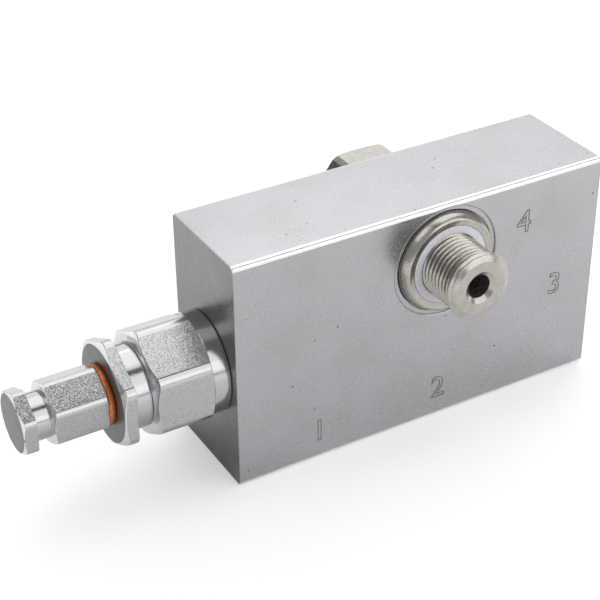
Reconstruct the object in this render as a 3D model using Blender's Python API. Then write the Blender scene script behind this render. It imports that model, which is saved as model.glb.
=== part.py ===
"""Counterbalance valve in a steel block.

The load's oil leaves the block through a hollow bolt. A spring holds a poppet on a floating
seat, pilot pressure on the poppet's far end lifts it, and free flow the other way lifts the
seat. All sizes are in millimetres, and MM turns them into Blender's metres. The block's left
face carries the adjuster, the pilot port is on the right, and the bolt looks out of the front.
"""

from math import cos, pi, radians, sin, sqrt, tan

import bmesh
import bpy

MM = 0.001

# Clearance kept between pieces that touch, seat or run in each other
gap = 0.3

# How far a cutter reaches past the metal, and how far the milled flats run into the collars
overrun = 1.0
flat_run_out = 0.05

# Block, and the point of its base that is the model's origin
block_length = 100.0
block_depth = 29.0
block_height = 59.0
block_edge = 0.4
origin_from_left = 38.5

# Main axis: adjuster, poppet and pilot port
axis_height = 27.2
thread_radius = 10.0
thread_length = 10.7
guide_bore_radius = 8.8
guide_bore_end = 33.5
sleeve_bore_radius = 7.4
sleeve_bore_end = 62.0
pilot_radius = 4.2
pilot_bore_spare = 3.0
pilot_passage_radius = 2.5
seal_pocket_radius = 11.4
seal_pocket_depth = 2.1

# Ports: tapping drill radius and depth, mouth chamfer, and the passages behind them
large_port_radius = 7.6
large_port_depth = 13.0
small_port_radius = 5.9
small_port_depth = 12.0
port_chamfer = 1.0
valve_port_from_left = 21.5
valve_passage_radius = 4.5
gauge_passage_radius = 2.5
drill_slope = 0.6

# Hollow bolt: its axis, shank, bore, head and tip
bolt_from_left = 55.6
bolt_spacing = 16.7
bolt_radius = 8.33
bolt_bore_radius = 2.95
bolt_bore_depth = 31.0
bolt_mouth_radius = 4.1
bolt_reach = 13.9
bolt_tip_radius = 6.4
bolt_tip_chamfer = 1.0
bolt_groove_radius = 6.4
bolt_groove_width = 15.0
bolt_cross_hole_radius = 2.2
bolt_head_thickness = 8.1
bolt_head_flats = 24.0

# Rings under the bolt's thread and head
spot_face_radius = 14.15
spot_face_depth = 1.0
front_ring_radius = 12.3
front_ring_thickness = 2.9
front_ring_inner_radius = 10.4
front_seal_recess = 0.25
rear_ring_radius = 13.2
rear_ring_inner_radius = 10.2
rear_ring_thickness = 1.5
ring_edge = 0.25

# Hexagons turned from bar: the corners are truncated to a radius, the ends chamfered
hexagon_flats = 24.0
hexagon_corner_radius = 13.42
hexagon_turn = 1.5

# Spring housing, from the block's face outwards
collar_radius = 12.3
collar_width = 3.85
housing_hexagon_length = 14.2
housing_chamfer = 1.15
housing_end_radius = 11.4
housing_root_radius = 9.3
chamber_radius = 7.6
housing_end_wall = 4.35
thread_chamfer = 0.4

# Lock nut
nut_collar_radius = 10.0
nut_collar_width = 4.3
nut_hexagon_length = 3.05
nut_chamfer = 0.8
nut_end_radius = 11.6
nut_recess_radius = 7.3
nut_recess_depth = 2.25

# Adjusting screw
screw_radius = 5.0
screw_reach = 34.5
screw_inner_end = 12.5
screw_chamfer = 0.6
socket_flats = 5.0
socket_depth = 6.0

# Copper washer and cap nut
copper_radius = 7.3
copper_thickness = 1.3
cap_flats = 14.0
cap_corner_radius = 7.87
cap_end_radius = 6.8
cap_length = 12.5
cap_chamfer = 0.6
cap_neck_radius = 5.5
cap_neck_length = 3.9
cap_head_length = 3.2
cap_head_chamfer = 0.5
cap_free_depth = 3.5

# Spring plates and main spring
plate_radius = 7.3
plate_thickness = 2.2
plate_spigot_radius = 4.4
plate_spigot_length = 2.0
upper_plate_position = 12.2
plate_pocket_depth = 1.7
spring_radius = 7.0
spring_wire = 2.2
spring_turns = 5.0
closed_turn_gap = 0.2

# Poppet guide
guide_flange_thickness = 1.2
stem_radius = 3.0
guide_nose_radius = 6.9
guide_land_end = 18.6
guide_window_radius = 2.8
seal_groove_width = 2.4
seal_position = 15.6
stem_groove_radius = 4.9
stem_groove_width = 2.0

# Poppet
poppet_head_radius = 6.0
poppet_head_position = 27.0
poppet_head_length = 2.2
poppet_neck_radius = 2.8
pilot_land_start = 60.0
pilot_land_end = 77.0
pilot_seal_position = 70.2
pilot_groove_radius = 3.0
pilot_groove_width = 2.4

# Floating seat
seat_radius = 4.9
sleeve_length = 10.5
sleeve_groove_start = 3.0
sleeve_groove_width = 3.5
sleeve_groove_radius = 5.9
check_spring_radius = 6.9
check_spring_wire = 0.9
check_spring_turns = 6.0

# Places that follow from the sizes above
left_face = -origin_from_left
front_face = -block_depth / 2
bolt_x = left_face + bolt_from_left
bolt_height = axis_height + bolt_spacing
bolt_head_start = block_depth + gap + rear_ring_thickness + gap
guide_start = thread_length + gap
guide_shoulder = guide_start + guide_flange_thickness + gap
housing_hexagon_start = gap + collar_width
housing_end = housing_hexagon_start + housing_hexagon_length
nut_start = housing_end + gap
nut_end = nut_start + nut_collar_width + nut_hexagon_length
copper_start = nut_end + gap
cap_start = copper_start + copper_thickness + gap
cap_shoulder = cap_start + cap_length
cap_head_start = cap_shoulder + cap_neck_length
cap_end = cap_head_start + cap_head_length
pilot_bore_end = pilot_land_end + pilot_bore_spare
lower_plate_end = thread_length
sleeve_shoulder = guide_bore_end
seat_position = poppet_head_position + poppet_head_length + poppet_head_radius - seat_radius + gap * sqrt(2)
sleeve_end = sleeve_shoulder + sleeve_length


def clear_scene():
    for old in list(bpy.data.objects):
        bpy.data.objects.remove(old, do_unlink=True)


def finish(thing, colour, roughness, metallic):
    """Give an object a plain material of its own."""
    material = bpy.data.materials.new(thing.name + "_finish")
    material.use_nodes = True
    shader = material.node_tree.nodes["Principled BSDF"]
    shader.inputs["Base Color"].default_value = (*colour, 1.0)
    shader.inputs["Roughness"].default_value = roughness
    shader.inputs["Metallic"].default_value = metallic
    thing.data.materials.append(material)


def zinc(thing):
    finish(thing, (0.62, 0.62, 0.61), 0.35, 1.0)


def bare_steel(thing):
    finish(thing, (0.56, 0.55, 0.53), 0.3, 1.0)


def nickel(thing):
    finish(thing, (0.60, 0.56, 0.49), 0.28, 1.0)


def black_rubber(thing):
    finish(thing, (0.02, 0.02, 0.02), 0.6, 0.0)


def on_main_axis(thing):
    """Local X runs along the main axis, to the right from the block's left face."""
    thing.location = (left_face * MM, 0.0, axis_height * MM)


def on_bolt_axis(thing):
    """Local X runs along the bolt, backwards from the block's front face."""
    thing.location = (bolt_x * MM, front_face * MM, bolt_height * MM)
    thing.rotation_euler = (0.0, 0.0, pi / 2)


def up_from_base(thing, x):
    """Local X runs straight up from the block's base."""
    thing.location = (x * MM, 0.0, 0.0)
    thing.rotation_euler = (0.0, -pi / 2, 0.0)


def new_object(name, mesh):
    thing = bpy.data.objects.new(name, mesh)
    bpy.context.scene.collection.objects.link(thing)
    return thing


def turned(name, outline, sides=40, closed=False, first_side=0.0):
    """Spin an outline of (along, radius) points about local X.

    An open outline starts and ends on the axis. A closed one goes round a ring's section.
    With six sides and its corner radius it is a hexagon, whose first corner is first_side
    degrees from local Y.
    """
    bm = bmesh.new()
    angle = radians(first_side)
    points = [
        bm.verts.new((s * MM, r * MM * cos(angle), r * MM * sin(angle)))
        for s, r in outline
    ]
    pairs = list(zip(points, points[1:]))
    if closed:
        pairs.append((points[-1], points[0]))
    lines = [bm.edges.new(pair) for pair in pairs]
    bmesh.ops.spin(
        bm, geom=points + lines, cent=(0, 0, 0), axis=(1, 0, 0), angle=2 * pi,
        steps=sides, use_merge=True,
    )
    bmesh.ops.remove_doubles(bm, verts=bm.verts, dist=0.001 * MM)
    bmesh.ops.recalc_face_normals(bm, faces=bm.faces)
    mesh = bpy.data.meshes.new(name)
    bm.to_mesh(mesh)
    bm.free()
    mesh.shade_smooth()
    mesh.set_sharp_from_angle(angle=radians(30))
    return new_object(name, mesh)


def round_section_ring(name, along, radius, half_width, sides=24, section_sides=6):
    """Ring whose section is a circle, such as an O-ring."""
    outline = [
        (
            along + half_width * cos(2 * pi * k / section_sides),
            radius + half_width * sin(2 * pi * k / section_sides),
        )
        for k in range(section_sides)
    ]
    return turned(name, outline, sides, closed=True)


def as_cutter(thing):
    thing.hide_render = True
    thing.display_type = "WIRE"
    return thing


def cut(thing, cutter):
    """Take the cutter's space out of a thing."""
    as_cutter(cutter)
    modifier = thing.modifiers.new(cutter.name, "BOOLEAN")
    modifier.operation = "DIFFERENCE"
    modifier.solver = "EXACT"
    modifier.object = cutter


def cut_hexagon(thing, place, flats, start, end, turn, spare=6.0):
    """Mill six flats on a turned piece, between two places along its axis."""
    inner = flats / 2 / cos(pi / 6)
    outer = inner + spare
    outline = [(start, inner), (start, outer), (end, outer), (end, inner)]
    cutter = turned(thing.name + "_flats_%d" % len(thing.modifiers), outline, 6, True, turn)
    place(cutter)
    cut(thing, cutter)


def coil(name, start, end, radius, wire, turns, steps_per_turn, sides_level):
    """Compression spring about local X, with one closed turn at each end."""
    middle_radius = radius - wire / 2
    first = start + wire / 2
    last = end - wire / 2
    closed_rise = wire + closed_turn_gap
    active_rise = (last - first - 2 * closed_rise) / (turns - 2)
    curve = bpy.data.curves.new(name, "CURVE")
    curve.dimensions = "3D"
    steps = int(turns * steps_per_turn)
    spline = curve.splines.new("POLY")
    spline.points.add(steps)
    for k in range(steps + 1):
        turn = turns * k / steps
        along = first + closed_rise * min(turn, 1.0)
        along += active_rise * min(max(turn - 1.0, 0.0), turns - 2)
        along += closed_rise * max(turn - (turns - 1), 0.0)
        around = 2 * pi * turn
        spline.points[k].co = (
            along * MM, middle_radius * MM * cos(around), middle_radius * MM * sin(around), 1.0,
        )
    curve.bevel_depth = wire / 2 * MM
    curve.bevel_resolution = sides_level
    curve.use_fill_caps = True
    return new_object(name, curve)


def port_mouth(name, radius, depth, passage_radius, passage_end, sides=24):
    """Threaded port before its thread: chamfer, tapping drill, drill point and passage."""
    point = (radius - passage_radius) * drill_slope
    outline = [
        (-gap, 0.0),
        (-gap, radius + port_chamfer + gap),
        (port_chamfer, radius),
        (depth, radius),
        (depth + point, passage_radius),
        (passage_end, passage_radius),
        (passage_end, 0.0),
    ]
    return turned(name, outline, sides)


def make_block():
    bm = bmesh.new()
    bmesh.ops.create_cube(bm, size=1.0)
    size = (block_length * MM, block_depth * MM, block_height * MM)
    bmesh.ops.scale(bm, vec=size, verts=bm.verts)
    centre = ((left_face + block_length / 2) * MM, 0.0, block_height / 2 * MM)
    bmesh.ops.translate(bm, vec=centre, verts=bm.verts)
    bmesh.ops.bevel(
        bm, geom=bm.edges[:], offset=block_edge * MM, affect="EDGES", segments=1,
        profile=0.5, material=-1,
    )
    mesh = bpy.data.meshes.new("valve_body")
    bm.to_mesh(mesh)
    bm.free()
    body = new_object("valve_body", mesh)

    shoulder = guide_shoulder
    pilot_point = (pilot_radius + gap - pilot_passage_radius) * drill_slope
    main_bore = turned("main_bore", [
        (-gap, 0.0),
        (-gap, seal_pocket_radius),
        (seal_pocket_depth, seal_pocket_radius),
        (seal_pocket_depth, thread_radius + gap),
        (shoulder, thread_radius + gap),
        (shoulder, guide_bore_radius),
        (guide_bore_end, guide_bore_radius),
        (guide_bore_end, sleeve_bore_radius),
        (sleeve_bore_end, sleeve_bore_radius),
        (sleeve_bore_end, pilot_radius + gap),
        (pilot_bore_end, pilot_radius + gap),
        (pilot_bore_end + pilot_point, pilot_passage_radius),
        (block_length - small_port_depth / 2, pilot_passage_radius),
        (block_length - small_port_depth / 2, 0.0),
    ], 32)
    on_main_axis(main_bore)
    cut(body, main_bore)

    pilot_port = port_mouth(
        "pilot_port", small_port_radius, small_port_depth, pilot_passage_radius,
        small_port_depth + small_port_radius,
    )
    pilot_port.location = ((left_face + block_length) * MM, 0.0, axis_height * MM)
    pilot_port.rotation_euler = (0.0, 0.0, pi)
    cut(body, pilot_port)

    valve_port = port_mouth(
        "valve_port", large_port_radius, large_port_depth, valve_passage_radius, axis_height,
    )
    up_from_base(valve_port, left_face + valve_port_from_left)
    cut(body, valve_port)

    gauge_port = port_mouth(
        "gauge_port", small_port_radius, small_port_depth, gauge_passage_radius,
        bolt_height - bolt_radius / 2,
    )
    up_from_base(gauge_port, bolt_x)
    cut(body, gauge_port)

    bolt_hole = turned("bolt_hole", [
        (-gap, 0.0),
        (-gap, spot_face_radius),
        (spot_face_depth, spot_face_radius),
        (spot_face_depth, bolt_radius + gap),
        (block_depth + gap, bolt_radius + gap),
        (block_depth + gap, 0.0),
    ], 48)
    on_bolt_axis(bolt_hole)
    cut(body, bolt_hole)
    zinc(body)


def make_spring_housing():
    """Turned from hexagon bar: end chamfers, collar, seal root, thread and spring chamber."""
    hexagon_end_slope = (hexagon_corner_radius - collar_radius) * tan(radians(30))
    housing = turned("spring_housing", [
        (-housing_end, screw_radius + gap),
        (-housing_end, housing_end_radius),
        (-housing_end + housing_chamfer, hexagon_corner_radius),
        (-housing_hexagon_start - hexagon_end_slope, hexagon_corner_radius),
        (-housing_hexagon_start, collar_radius),
        (-gap - ring_edge, collar_radius),
        (-gap, collar_radius - ring_edge),
        (-gap, housing_root_radius),
        (seal_pocket_depth + gap, housing_root_radius),
        (seal_pocket_depth + gap + thread_radius - housing_root_radius, thread_radius),
        (thread_length - thread_chamfer, thread_radius),
        (thread_length, thread_radius - thread_chamfer),
        (thread_length, chamber_radius),
        (-housing_end + housing_end_wall, chamber_radius),
        (-housing_end + housing_end_wall, screw_radius + gap),
    ], 48, closed=True)
    on_main_axis(housing)
    cut_hexagon(
        housing, on_main_axis, hexagon_flats, -housing_end - overrun,
        -housing_hexagon_start + flat_run_out, 90.0 + hexagon_turn,
    )
    zinc(housing)

    seal_half = (seal_pocket_radius - housing_root_radius) / 2 - gap
    seal = round_section_ring(
        "housing_o_ring", seal_pocket_depth / 2, (seal_pocket_radius + housing_root_radius) / 2,
        seal_half,
    )
    on_main_axis(seal)
    black_rubber(seal)


def make_lock_nut():
    """One piece: a thin hexagon and a round collar that holds a seal on the screw."""
    nut = turned("lock_nut", [
        (-nut_end, screw_radius + gap),
        (-nut_end, nut_end_radius),
        (-nut_end + nut_chamfer, hexagon_corner_radius),
        (-nut_start - nut_collar_width, hexagon_corner_radius),
        (-nut_start - nut_collar_width, nut_collar_radius),
        (-nut_start - ring_edge, nut_collar_radius),
        (-nut_start, nut_collar_radius - ring_edge),
        (-nut_start, nut_recess_radius),
        (-nut_start - nut_recess_depth, nut_recess_radius),
        (-nut_start - nut_recess_depth, screw_radius + gap),
    ], 48, closed=True)
    on_main_axis(nut)
    cut_hexagon(
        nut, on_main_axis, hexagon_flats, -nut_end - overrun,
        -nut_start - nut_collar_width + flat_run_out, 90.0 + hexagon_turn,
    )
    zinc(nut)

    seal_half = (nut_recess_radius - screw_radius) / 2 - gap
    seal = round_section_ring(
        "screw_seal", -nut_start - nut_recess_depth / 2, (nut_recess_radius + screw_radius) / 2,
        seal_half,
    )
    on_main_axis(seal)
    black_rubber(seal)


def make_adjusting_screw():
    screw = turned("adjusting_screw", [
        (-screw_reach, 0.0),
        (-screw_reach, screw_radius - screw_chamfer),
        (-screw_reach + screw_chamfer, screw_radius),
        (-screw_inner_end - screw_chamfer, screw_radius),
        (-screw_inner_end, screw_radius - screw_chamfer),
        (-screw_inner_end, 0.0),
    ], 32)
    on_main_axis(screw)
    socket = turned("screw_socket", [
        (-screw_reach - overrun, 0.0),
        (-screw_reach - overrun, socket_flats / 2 / cos(pi / 6)),
        (-screw_reach + socket_depth, socket_flats / 2 / cos(pi / 6)),
        (-screw_reach + socket_depth + overrun, 0.0),
    ], 6)
    on_main_axis(socket)
    cut(screw, socket)
    bare_steel(screw)


def make_copper_washer():
    """Crush washer with a rounded rim."""
    half = copper_thickness / 2
    middle = -copper_start - half
    steps = 4
    rim = [
        (
            middle - half * cos(pi * k / steps),
            copper_radius - half + half * sin(pi * k / steps),
        )
        for k in range(steps + 1)
    ]
    bore = [(middle + half, screw_radius + gap), (middle - half, screw_radius + gap)]
    washer = turned("copper_washer", rim + bore, 40, closed=True)
    on_main_axis(washer)
    finish(washer, (0.58, 0.22, 0.09), 0.35, 1.0)


def make_cap_nut():
    """Cap turned from hexagon bar: a long hexagon, a round neck and a thin hexagon head."""
    bore_end = screw_reach + cap_free_depth
    cap = turned("cap_nut", [
        (-cap_end, 0.0),
        (-cap_end, cap_end_radius),
        (-cap_end + cap_head_chamfer, cap_corner_radius),
        (-cap_head_start, cap_corner_radius),
        (-cap_head_start, cap_neck_radius),
        (-cap_shoulder, cap_neck_radius),
        (-cap_shoulder, cap_end_radius),
        (-cap_shoulder + cap_chamfer, cap_corner_radius),
        (-cap_start - ring_edge, cap_corner_radius),
        (-cap_start, cap_corner_radius - 2 * ring_edge),
        (-cap_start, screw_radius + gap),
        (-bore_end, screw_radius + gap),
        (-bore_end - screw_radius * drill_slope, 0.0),
    ])
    on_main_axis(cap)
    turn = 90.0 + hexagon_turn
    cut_hexagon(cap, on_main_axis, cap_flats, -cap_shoulder - overrun, -cap_start + overrun, turn)
    cut_hexagon(cap, on_main_axis, cap_flats, -cap_end - overrun, -cap_head_start + overrun, turn)
    zinc(cap)


def make_main_spring():
    """The spring and its two plates. The upper one is pushed by the screw."""
    upper = upper_plate_position
    upper_plate = turned("upper_spring_plate", [
        (-upper, 0.0),
        (-upper, plate_radius),
        (-upper + plate_thickness, plate_radius),
        (-upper + plate_thickness, plate_spigot_radius),
        (-upper + plate_thickness + plate_spigot_length, plate_spigot_radius - ring_edge),
        (-upper + plate_thickness + plate_spigot_length, 0.0),
    ], 32)
    on_main_axis(upper_plate)
    bare_steel(upper_plate)

    lower_start = lower_plate_end - plate_thickness
    lower_plate = turned("lower_spring_plate", [
        (lower_start - plate_spigot_length, 0.0),
        (lower_start - plate_spigot_length, plate_spigot_radius - ring_edge),
        (lower_start, plate_spigot_radius),
        (lower_start, plate_radius),
        (lower_plate_end, plate_radius),
        (lower_plate_end, stem_radius + gap),
        (lower_plate_end - plate_pocket_depth, stem_radius + gap),
        (lower_plate_end - plate_pocket_depth, 0.0),
    ], 32)
    on_main_axis(lower_plate)
    bare_steel(lower_plate)

    spring = coil(
        "main_spring", -upper + plate_thickness + gap, lower_start - gap, spring_radius,
        spring_wire, spring_turns, 14, 1,
    )
    on_main_axis(spring)
    finish(spring, (0.30, 0.30, 0.31), 0.4, 1.0)


def make_poppet_guide():
    """Flanged bush that the housing clamps. It guides the stem and stops the floating seat."""
    body_radius = guide_bore_radius - gap
    groove = seal_groove_width / 2
    inner = stem_groove_width / 2
    guide_end = guide_bore_end - gap
    guide = turned("poppet_guide", [
        (guide_start, stem_radius + gap),
        (guide_start, thread_radius),
        (guide_start + guide_flange_thickness, thread_radius),
        (guide_start + guide_flange_thickness, body_radius),
        (seal_position - groove, body_radius),
        (seal_position - groove, guide_nose_radius),
        (seal_position + groove, guide_nose_radius),
        (seal_position + groove, body_radius),
        (guide_end, body_radius),
        (guide_end, guide_nose_radius),
        (guide_land_end, guide_nose_radius),
        (guide_land_end, stem_radius + gap),
        (seal_position + inner, stem_radius + gap),
        (seal_position + inner, stem_groove_radius),
        (seal_position - inner, stem_groove_radius),
        (seal_position - inner, stem_radius + gap),
    ], 32, closed=True)
    on_main_axis(guide)
    for name, tilt in (("upright", 0.0), ("level", pi / 2)):
        window = turned("guide_window_" + name, [
            (-guide_bore_radius - overrun, 0.0),
            (-guide_bore_radius - overrun, guide_window_radius),
            (guide_bore_radius + overrun, guide_window_radius),
            (guide_bore_radius + overrun, 0.0),
        ], 16)
        window_x = left_face + max(valve_port_from_left, guide_land_end + guide_window_radius + gap)
        window.location = (window_x * MM, 0.0, axis_height * MM)
        window.rotation_euler = (tilt, -pi / 2, 0.0)
        cut(guide, window)
    bare_steel(guide)

    outer_half = (guide_bore_radius - guide_nose_radius) / 2 - gap
    outer_seal = round_section_ring(
        "guide_o_ring", seal_position, (guide_bore_radius + guide_nose_radius) / 2, outer_half,
    )
    on_main_axis(outer_seal)
    black_rubber(outer_seal)

    stem_half = (stem_groove_radius - stem_radius) / 2 - gap
    stem_seal = round_section_ring(
        "stem_seal", seal_position, (stem_groove_radius + stem_radius) / 2, stem_half,
    )
    on_main_axis(stem_seal)
    black_rubber(stem_seal)


def make_poppet():
    """One turned piece: stem, conical head, neck through the seat, and pilot rod."""
    cone_start = poppet_head_position + poppet_head_length
    cone_end = cone_start + poppet_head_radius - poppet_neck_radius
    tail = lower_plate_end - plate_pocket_depth + gap
    half = pilot_groove_width / 2
    poppet = turned("relief_poppet", [
        (tail, 0.0),
        (tail, stem_radius - ring_edge),
        (tail + ring_edge, stem_radius),
        (poppet_head_position - ring_edge, stem_radius),
        (poppet_head_position, poppet_head_radius),
        (cone_start, poppet_head_radius),
        (cone_end, poppet_neck_radius),
        (pilot_land_start - pilot_radius + poppet_neck_radius, poppet_neck_radius),
        (pilot_land_start, pilot_radius),
        (pilot_seal_position - half, pilot_radius),
        (pilot_seal_position - half, pilot_groove_radius),
        (pilot_seal_position + half, pilot_groove_radius),
        (pilot_seal_position + half, pilot_radius),
        (pilot_land_end - ring_edge, pilot_radius),
        (pilot_land_end, pilot_radius - ring_edge),
        (pilot_land_end, 0.0),
    ], 24)
    on_main_axis(poppet)
    bare_steel(poppet)

    seal_half = (pilot_radius - pilot_groove_radius) / 2 - gap / 2
    seal = round_section_ring(
        "pilot_seal", pilot_seal_position, pilot_groove_radius + gap + seal_half, seal_half,
    )
    on_main_axis(seal)
    black_rubber(seal)


def make_check_sleeve():
    """Floating seat: the poppet closes on its left edge, and free flow pushes it right."""
    sleeve_radius = sleeve_bore_radius - gap
    groove_start = sleeve_shoulder + sleeve_groove_start
    groove_end = groove_start + sleeve_groove_width
    sleeve = turned("check_sleeve", [
        (seat_position, seat_radius),
        (seat_position, guide_nose_radius - gap),
        (sleeve_shoulder, guide_nose_radius - gap),
        (sleeve_shoulder, sleeve_radius),
        (groove_start, sleeve_radius),
        (groove_start, sleeve_groove_radius),
        (groove_end, sleeve_groove_radius),
        (groove_end, sleeve_radius),
        (sleeve_end, sleeve_radius),
        (sleeve_end, seat_radius),
    ], 32, closed=True)
    on_main_axis(sleeve)
    bare_steel(sleeve)

    middle_radius = (sleeve_bore_radius + sleeve_groove_radius) / 2
    seal_half = (sleeve_bore_radius - sleeve_groove_radius) / 2 - gap
    seal = round_section_ring(
        "sleeve_o_ring", groove_start + gap + seal_half, middle_radius, seal_half,
    )
    on_main_axis(seal)
    black_rubber(seal)

    backup_start = groove_start + gap + 2 * seal_half + gap
    backup = turned("sleeve_backup_ring", [
        (backup_start, middle_radius - seal_half),
        (backup_start, middle_radius + seal_half),
        (groove_end - gap, middle_radius + seal_half),
        (groove_end - gap, middle_radius - seal_half),
    ], 32, closed=True)
    on_main_axis(backup)
    finish(backup, (0.85, 0.84, 0.80), 0.5, 0.0)

    spring = coil(
        "check_spring", sleeve_end + gap, sleeve_bore_end - gap, check_spring_radius,
        check_spring_wire, check_spring_turns, 12, 1,
    )
    on_main_axis(spring)
    finish(spring, (0.45, 0.45, 0.46), 0.35, 1.0)


def make_hollow_bolt():
    """Banjo bolt: bored from its threaded tip, with cross holes in a groove round its shank."""
    groove_middle = block_depth / 2
    groove_start = groove_middle - bolt_groove_width / 2
    groove_end = groove_middle + bolt_groove_width / 2
    groove_slope = bolt_radius - bolt_groove_radius
    head_end = bolt_head_start + bolt_head_thickness
    bore_end = -bolt_reach + bolt_bore_depth
    bolt = turned("hollow_bolt", [
        (-bolt_reach, 0.0),
        (-bolt_reach, bolt_tip_radius),
        (-bolt_reach + bolt_tip_chamfer, bolt_radius),
        (groove_start, bolt_radius),
        (groove_start + groove_slope, bolt_groove_radius),
        (groove_end - groove_slope, bolt_groove_radius),
        (groove_end, bolt_radius),
        (bolt_head_start, bolt_radius),
        (bolt_head_start, hexagon_corner_radius),
        (head_end - nut_chamfer, hexagon_corner_radius),
        (head_end, nut_end_radius),
        (head_end, 0.0),
    ], 48)
    on_bolt_axis(bolt)
    cut_hexagon(
        bolt, on_bolt_axis, bolt_head_flats, bolt_head_start - gap / 2, head_end + overrun, 0.0,
    )
    bore = turned("bolt_bore", [
        (-bolt_reach - gap, 0.0),
        (-bolt_reach - gap, bolt_mouth_radius + gap),
        (-bolt_reach + bolt_mouth_radius - bolt_bore_radius, bolt_bore_radius),
        (bore_end, bolt_bore_radius),
        (bore_end + bolt_bore_radius * drill_slope, 0.0),
    ], 24)
    on_bolt_axis(bore)
    cut(bolt, bore)
    for name, tilt in (("upright", 0.0), ("level", pi / 2)):
        hole = turned("bolt_cross_hole_" + name, [
            (-bolt_radius - overrun, 0.0),
            (-bolt_radius - overrun, bolt_cross_hole_radius),
            (bolt_radius + overrun, bolt_cross_hole_radius),
            (bolt_radius + overrun, 0.0),
        ], 16)
        hole.location = (bolt_x * MM, (front_face + groove_middle) * MM, bolt_height * MM)
        hole.rotation_euler = (0.0, -pi / 2 + tilt, 0.0)
        cut(bolt, hole)
    nickel(bolt)


def make_bolt_rings():
    """Steel ring with a white seal in the front spot face, bonded washer under the head."""
    ring_end = spot_face_depth - gap
    ring_start = ring_end - front_ring_thickness
    front_ring = turned("front_ring", [
        (ring_start, front_ring_inner_radius),
        (ring_start, front_ring_radius - ring_edge),
        (ring_start + ring_edge, front_ring_radius),
        (ring_end - ring_edge, front_ring_radius),
        (ring_end, front_ring_radius - ring_edge),
        (ring_end, front_ring_inner_radius),
    ], 48, closed=True)
    on_bolt_axis(front_ring)
    nickel(front_ring)

    front_seal = turned("front_seal", [
        (ring_start + front_seal_recess, bolt_radius + gap),
        (ring_start + front_seal_recess, front_ring_inner_radius - gap),
        (ring_end, front_ring_inner_radius - gap),
        (ring_end, bolt_radius + gap),
    ], 48, closed=True)
    on_bolt_axis(front_seal)
    finish(front_seal, (0.80, 0.80, 0.86), 0.5, 0.0)

    rear_start = block_depth + gap
    rear_end = rear_start + rear_ring_thickness
    rear_ring = turned("rear_washer", [
        (rear_start, rear_ring_inner_radius),
        (rear_start, rear_ring_radius - ring_edge),
        (rear_start + ring_edge, rear_ring_radius),
        (rear_end - ring_edge, rear_ring_radius),
        (rear_end, rear_ring_radius - ring_edge),
        (rear_end, rear_ring_inner_radius),
    ], 40, closed=True)
    on_bolt_axis(rear_ring)
    zinc(rear_ring)

    rear_seal = turned("rear_seal", [
        (rear_start, bolt_radius + gap),
        (rear_start, rear_ring_inner_radius - gap),
        (rear_end, rear_ring_inner_radius - gap),
        (rear_end, bolt_radius + gap),
    ], 40, closed=True)
    on_bolt_axis(rear_seal)
    black_rubber(rear_seal)


clear_scene()
make_block()
make_spring_housing()
make_lock_nut()
make_adjusting_screw()
make_copper_washer()
make_cap_nut()
make_main_spring()
make_poppet_guide()
make_poppet()
make_check_sleeve()
make_hollow_bolt()
make_bolt_rings()
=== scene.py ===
# %% [markdown]
# # A counterbalance valve
#
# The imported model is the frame: each solid has its real size and place. This lesson dresses it.
# The pieces that show are turned, milled and threaded again with more detail, and every piece
# gets the finish of the real metal, rubber or plastic.

# %% Load the frame
from math import cos, hypot, pi, radians, tan

import bmesh
import bpy
from mathutils import Matrix, Quaternion, Vector


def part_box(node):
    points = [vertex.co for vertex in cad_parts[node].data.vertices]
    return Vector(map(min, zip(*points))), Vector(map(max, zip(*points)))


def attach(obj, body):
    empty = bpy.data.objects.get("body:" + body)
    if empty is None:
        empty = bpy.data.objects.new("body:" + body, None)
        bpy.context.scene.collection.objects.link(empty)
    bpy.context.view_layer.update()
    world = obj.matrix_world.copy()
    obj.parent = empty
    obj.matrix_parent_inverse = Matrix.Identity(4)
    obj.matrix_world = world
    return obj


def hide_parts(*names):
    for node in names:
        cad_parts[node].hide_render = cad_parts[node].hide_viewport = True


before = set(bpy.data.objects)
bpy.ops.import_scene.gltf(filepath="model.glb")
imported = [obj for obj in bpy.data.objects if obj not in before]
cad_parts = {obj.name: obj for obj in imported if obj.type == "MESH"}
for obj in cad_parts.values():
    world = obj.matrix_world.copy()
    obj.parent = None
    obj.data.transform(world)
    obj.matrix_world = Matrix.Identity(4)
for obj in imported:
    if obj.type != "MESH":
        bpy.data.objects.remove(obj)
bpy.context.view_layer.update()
print("nodes in the frame:", len(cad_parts))

# %% [markdown]
# ## Camera
#
# A product photograph like this is taken with a long lens, so the block's edges stay nearly
# parallel. The place and the focal length were fitted to the corners of the block. The picture
# is square, and the camera leans by a little over half a degree.

# %% Place the camera
camera_data = bpy.data.cameras.new("camera")
camera_data.lens = 94.36
camera_data.sensor_width = 36.0
camera_data.clip_start = 0.01
camera = bpy.data.objects.new("camera", camera_data)
bpy.context.scene.collection.objects.link(camera)
camera.location = (-0.1678, -0.2692, 0.2319)
sight = Vector((0.4195, 0.7331, -0.5353))
lean = Quaternion((0, 0, 1), radians(-0.61))
camera.rotation_mode = "QUATERNION"
camera.rotation_quaternion = sight.to_track_quat("-Z", "Y") @ lean
bpy.context.scene.camera = camera
bpy.context.scene.view_settings.view_transform = "Standard"
print("camera at", [round(v, 3) for v in camera.location])

# %% [markdown]
# ## Floor and light
#
# Plated steel is mostly a mirror, so it shows the studio around it. A wide soft box behind the
# valve and one above it make the top faces light, and one in front on the right draws the white
# bands on the edges and the round pieces. A small one on the left lights the upper left of the
# ring round the bolt. The floor is pale paper, which brightens the upright faces.

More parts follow.
